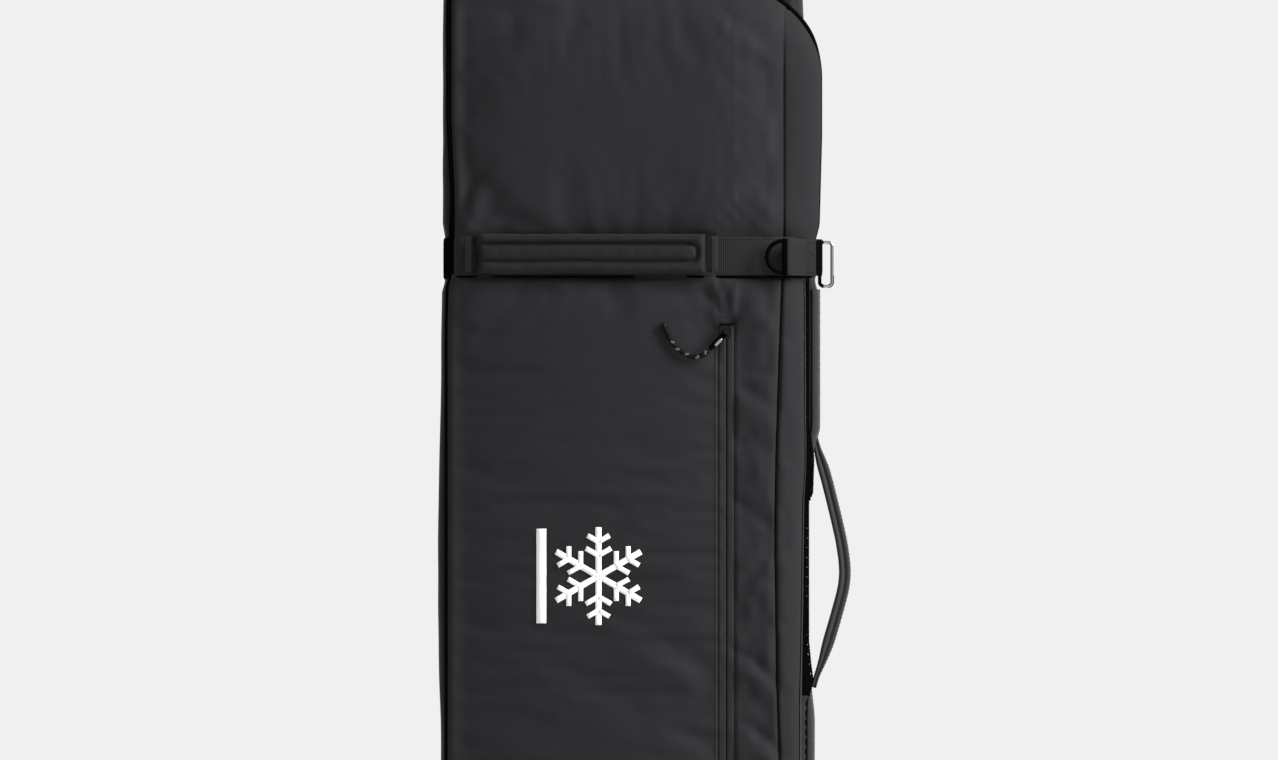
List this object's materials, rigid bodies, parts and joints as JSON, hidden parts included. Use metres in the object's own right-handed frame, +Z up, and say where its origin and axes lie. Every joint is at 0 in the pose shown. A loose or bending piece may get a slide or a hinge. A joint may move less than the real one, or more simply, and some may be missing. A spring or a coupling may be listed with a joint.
{
  "type": "snowboard bag",
  "caption": "Long padded soft bag standing on its tail, with an unzipping hinged lid, two load straps with metal rings, a front pocket zip, a grab handle and a side carry handle.",
  "frame": {"origin": "centre of the flat tail that the bag stands on", "axes": "+Z up along the bag to its nose, +X to the right as seen from the front, -Y out of the front lid"},
  "size_m": [0.3767, 0.1444, 1.7084],
  "materials": {
    "outer_fabric": "matt black woven polyester",
    "coated_fabric": "coated, slightly satin",
    "lining_cloth": "plain woven nylon",
    "foam": "closed-cell foam",
    "zip_tape": "woven tape with nylon coil",
    "webbing": "ribbed polypropylene webbing",
    "cord": "braided, with light flecks",
    "black_plastic": "satin",
    "metal": "dark bright metal"
  },
  "bodies": {
    "body": {"back_panel": "outer_fabric", "nose_panel": "outer_fabric", "side_gusset_left": "outer_fabric", "side_gusset_right": "outer_fabric", "nose_gusset": "outer_fabric", "tail_gusset": "outer_fabric", "back_foam": "foam", "side_foam_left": "foam", "side_foam_right": "foam", "body_lining": "lining_cloth", "tail_cup": "coated_fabric", "tail_foam": "foam", "main_zip_body_half": "zip_tape", "hinge_binding": "outer_fabric", "strap_back_upper": "webbing", "strap_back_lower": "webbing", "side_webbing_upper": "webbing", "side_webbing_lower": "webbing", "nose_loop_foot_left": "webbing", "nose_loop_foot_right": "webbing"},
    "lid": {"front_panel": "outer_fabric", "lid_top_gusset": "outer_fabric", "lid_bottom_gusset": "outer_fabric", "lid_hinge_gusset": "outer_fabric", "lid_side_gusset": "outer_fabric", "pocket_bag": "lining_cloth", "lid_foam": "foam", "lid_lining": "lining_cloth", "pocket_zip": "zip_tape", "main_zip_lid_half": "zip_tape", "strap_front_upper": "webbing", "strap_front_lower": "webbing", "ring_tab_upper": "webbing", "ring_tab_lower": "webbing", "grab_handle_tab_left": "webbing", "grab_handle_tab_right": "webbing"},
    "grab_handle": {"grab_handle_pad": "outer_fabric"},
    "d_ring_upper": {"d_ring_upper": "metal"},
    "d_ring_lower": {"d_ring_lower": "metal"},
    "strap_ring_upper": {"strap_ring_upper": "metal"},
    "strap_ring_lower": {"strap_ring_lower": "metal"},
    "pocket_slider": {"pocket_slider": "metal"},
    "pocket_pull": {"pocket_pull_tab": "metal", "pocket_pull_cord": "cord", "pocket_pull_tip": "black_plastic"},
    "side_handle": {"side_handle_webbing": "webbing", "side_handle_grip": "webbing"},
    "nose_loop": {"nose_loop": "webbing"},
    "main_slider_upper": {"main_slider_upper": "metal"},
    "main_slider_lower": {"main_slider_lower": "metal"},
    "main_pull_upper": {"main_pull_upper": "metal"},
    "main_pull_lower": {"main_pull_lower": "metal"}
  },
  "joints": [
    {"name": "lid_hinge", "type": "hinge", "parent": "body", "child": "lid", "pos_m": [-0.17, -0.02, 0.723], "axis": [0, 0, -1], "range_deg": [0, 135]},
    {"name": "grab_handle_lift", "type": "slide", "parent": "lid", "child": "grab_handle", "axis": [0, -1, 0], "range_m": [0, 0.022]},
    {"name": "pocket_zip_slide", "type": "slide", "parent": "lid", "child": "pocket_slider", "axis": [0, 0, -1], "range_m": [0, 0.44]},
    {"name": "pocket_pull_swing", "type": "hinge", "parent": "pocket_slider", "child": "pocket_pull", "pos_m": [0.089, -0.0689, 1.059], "axis": [0, 1, 0], "range_deg": [-45, 30]},
    {"name": "side_handle_swing", "type": "hinge", "parent": "body", "child": "side_handle", "pos_m": [0.1723, 0.011, 0.84], "axis": [0, 0, 1], "range_deg": [-30, 30]},
    {"name": "nose_loop_swing", "type": "hinge", "parent": "body", "child": "nose_loop", "pos_m": [0, 0.024, 1.6804], "axis": [1, 0, 0], "range_deg": [-35, 35]},
    {"name": "d_ring_swing_upper", "type": "hinge", "parent": "lid", "child": "d_ring_upper", "pos_m": [0.143, -0.0699, 1.128], "axis": [0, 0, 1], "range_deg": [0, 130]},
    {"name": "strap_ring_swing_upper", "type": "hinge", "parent": "lid", "child": "strap_ring_upper", "pos_m": [0.17547, -0.037, 1.128], "axis": [0, 0, 1], "range_deg": [-50, 50]},
    {"name": "d_ring_swing_lower", "type": "hinge", "parent": "lid", "child": "d_ring_lower", "pos_m": [0.143, -0.0699, 0.552], "axis": [0, 0, 1], "range_deg": [0, 130]},
    {"name": "strap_ring_swing_lower", "type": "hinge", "parent": "lid", "child": "strap_ring_lower", "pos_m": [0.171, -0.037, 0.552], "axis": [0, 0, 1], "range_deg": [-50, 50]},
    {"name": "main_zip_slide_upper", "type": "slide", "parent": "body", "child": "main_slider_upper", "axis": [0, 0, 1], "range_m": [0, 0.9]},
    {"name": "main_pull_swing_upper", "type": "hinge", "parent": "main_slider_upper", "child": "main_pull_upper", "pos_m": [0.16555, -0.02, 0.304], "axis": [0, -1, 0], "range_deg": [0, 170]},
    {"name": "main_zip_slide_lower", "type": "slide", "parent": "body", "child": "main_slider_lower", "axis": [0, 0, -1], "range_m": [0, 0.09]},
    {"name": "main_pull_swing_lower", "type": "hinge", "parent": "main_slider_lower", "child": "main_pull_lower", "pos_m": [0.16555, -0.02, 0.276], "axis": [0, -1, 0], "range_deg": [0, 170]}
  ]
}
